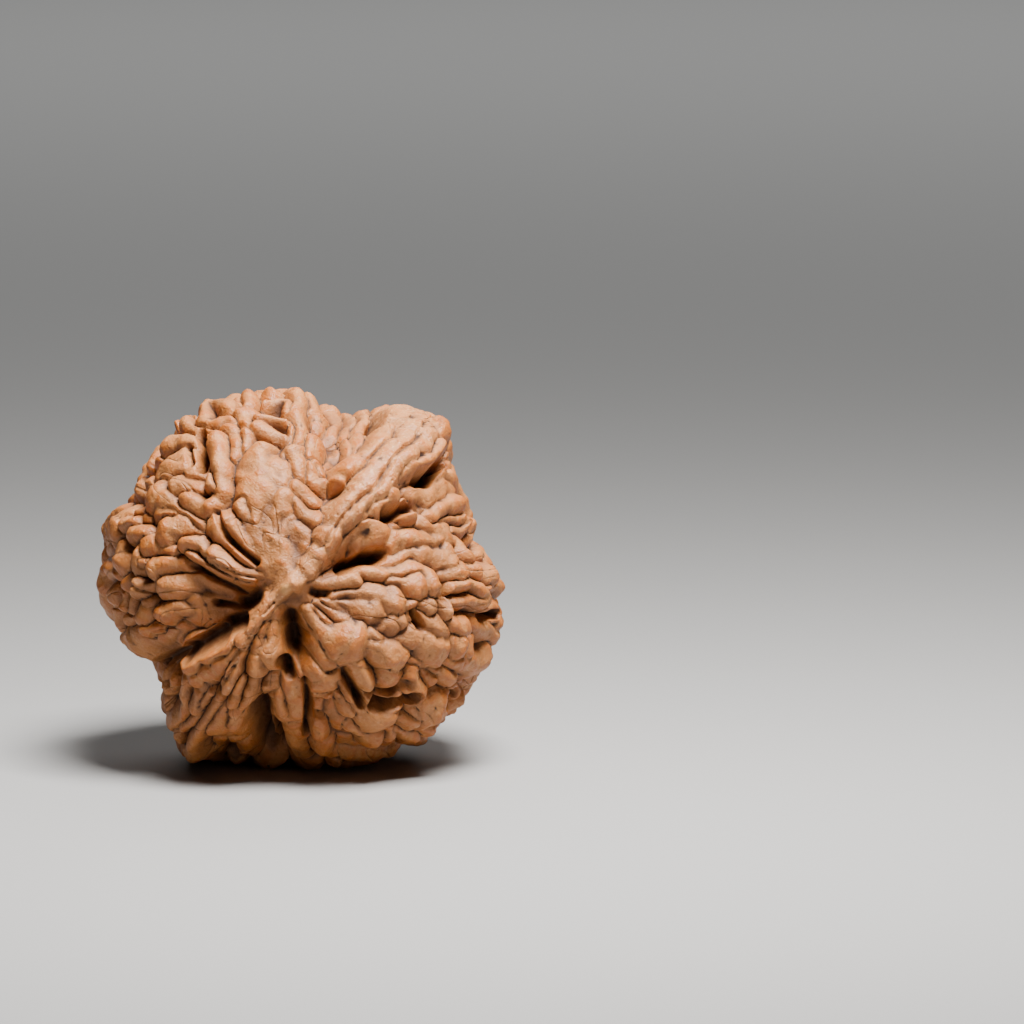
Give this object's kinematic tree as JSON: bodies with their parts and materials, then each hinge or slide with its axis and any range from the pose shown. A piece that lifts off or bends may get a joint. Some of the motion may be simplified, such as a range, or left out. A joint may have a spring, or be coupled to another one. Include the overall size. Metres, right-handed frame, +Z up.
{
  "type": "walnut in shell",
  "caption": "Whole walnut in its deeply furrowed shell, lying on its side with its tip to the front: one solid nut.",
  "frame": {"origin": "on the surface that the nut rests on, under the middle of its box", "axes": "-Y towards the tip, which is turned up a little, +Y towards the stem end, +X to the right as seen from the tip, +Z up"},
  "size_m": [0.0424, 0.0384, 0.0395],
  "materials": {
    "shell": "dry, matt to satin nutshell, pale tan on the ridges, amber brown on their flanks and dark in the creases"
  },
  "bodies": {
    "root": {"walnut": "shell"}
  },
  "joints": []
}
